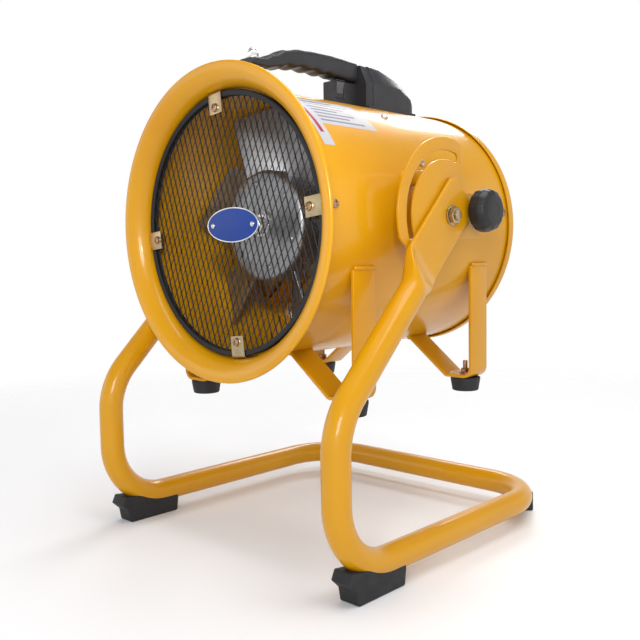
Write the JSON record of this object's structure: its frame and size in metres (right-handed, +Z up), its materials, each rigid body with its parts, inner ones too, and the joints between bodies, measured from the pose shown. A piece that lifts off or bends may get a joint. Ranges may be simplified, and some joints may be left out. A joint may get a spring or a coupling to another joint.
{
  "type": "tilting axial duct fan",
  "caption": "Portable axial duct blower: a steel barrel with a meshed bell mouth, carry handle and switch box, tilting on slotted side plates in a bent tube stand.",
  "frame": {"origin": "floor level under the middle of the whole footprint", "axes": "+Z up, +X to the right seen from the inlet, +Y along the fan axis from inlet to outlet"},
  "size_m": [0.416, 0.4141, 0.5694],
  "materials": {
    "yellow_enamel": "gloss enamel over rolled sheet steel",
    "motor_enamel": "dark satin enamel on cast ribs",
    "chromated_clip": "yellow chromate over zinc",
    "blue_plate": "printed blue field inside a bare rim",
    "dark_mesh": "black enamel on expanded sheet",
    "dark_edging": "dark folded U edging, satin",
    "impeller_metal": "bare pressed and polished",
    "zinc": "bright zinc plating",
    "capacitor_can": "drawn can",
    "black_plastic": "fine grained moulding",
    "black_rubber": "matt moulded rubber"
  },
  "bodies": {
    "stand": {"stand_frame": "yellow_enamel", "stand_foot_front_right": "black_rubber", "stand_foot_front_left": "black_rubber", "stand_foot_rear_right": "black_rubber", "stand_foot_rear_left": "black_rubber", "guide_pin_right": "zinc", "guide_pin_left": "zinc"},
    "housing": {"barrel_shell": "yellow_enamel", "outlet_collar": "yellow_enamel", "motor_arm_1": "yellow_enamel", "motor_arm_2": "yellow_enamel", "motor_arm_3": "yellow_enamel", "motor_arm_4": "yellow_enamel", "inlet_grille": "dark_mesh", "outlet_grille": "dark_mesh", "inlet_grille_edging": "dark_edging", "outlet_grille_edging": "dark_edging", "inlet_clip_1": "chromated_clip", "inlet_clip_2": "chromated_clip", "inlet_clip_3": "chromated_clip", "inlet_clip_4": "chromated_clip", "inlet_clip_screw_1": "zinc", "inlet_clip_screw_2": "zinc", "inlet_clip_screw_3": "zinc", "inlet_clip_screw_4": "zinc", "outlet_clip_1": "chromated_clip", "outlet_clip_2": "chromated_clip", "outlet_clip_3": "chromated_clip", "outlet_clip_4": "chromated_clip", "outlet_clip_screw_1": "zinc", "outlet_clip_screw_2": "zinc", "outlet_clip_screw_3": "zinc", "outlet_clip_screw_4": "zinc", "nameplate": "blue_plate", "handle_nut": "zinc", "pivot_bolt_right": "zinc", "pivot_bolt_left": "zinc", "motor_housing": "motor_enamel", "motor_front_cover": "motor_enamel", "motor_rear_cover": "motor_enamel", "handle_grip": "black_plastic", "switch_box": "black_plastic", "cable_gland": "black_plastic", "run_capacitor": "capacitor_can", "pivot_plate_right": "yellow_enamel", "pivot_plate_left": "yellow_enamel", "foot_bracket_front_right": "yellow_enamel", "rubber_foot_front_right": "black_rubber", "foot_bracket_front_left": "yellow_enamel", "rubber_foot_front_left": "black_rubber", "foot_bracket_rear_right": "yellow_enamel", "rubber_foot_rear_right": "black_rubber", "foot_bracket_rear_left": "yellow_enamel", "rubber_foot_rear_left": "black_rubber"},
    "rotor": {"impeller": "impeller_metal", "motor_shaft": "zinc", "impeller_nut": "zinc"},
    "rocker": {"rocker_switch": "black_plastic"},
    "knob_right": {"clamp_knob_right": "black_plastic"},
    "knob_left": {"clamp_knob_left": "black_plastic"}
  },
  "joints": [
    {"name": "housing_tilt", "type": "hinge", "parent": "stand", "child": "housing", "pos_m": [0, 0.003, 0.37], "axis": [1, 0, 0], "range_deg": [0, 130]},
    {"name": "impeller_spin", "type": "hinge", "parent": "housing", "child": "rotor", "pos_m": [0, 0, 0.364], "axis": [0, 1, 0], "continuous": true},
    {"name": "rocker_tip", "type": "hinge", "parent": "housing", "child": "rocker", "pos_m": [0.008, 0.0169, 0.5306], "axis": [0, 1, 0], "range_deg": [-14, 0]},
    {"name": "knob_right_turn", "type": "hinge", "parent": "housing", "child": "knob_right", "pos_m": [0.19, 0.0505, 0.376], "axis": [1, 0, 0], "range_deg": [0, 360]},
    {"name": "knob_left_turn", "type": "hinge", "parent": "housing", "child": "knob_left", "pos_m": [-0.19, 0.0505, 0.376], "axis": [-1, 0, 0], "range_deg": [0, 360]}
  ]
}
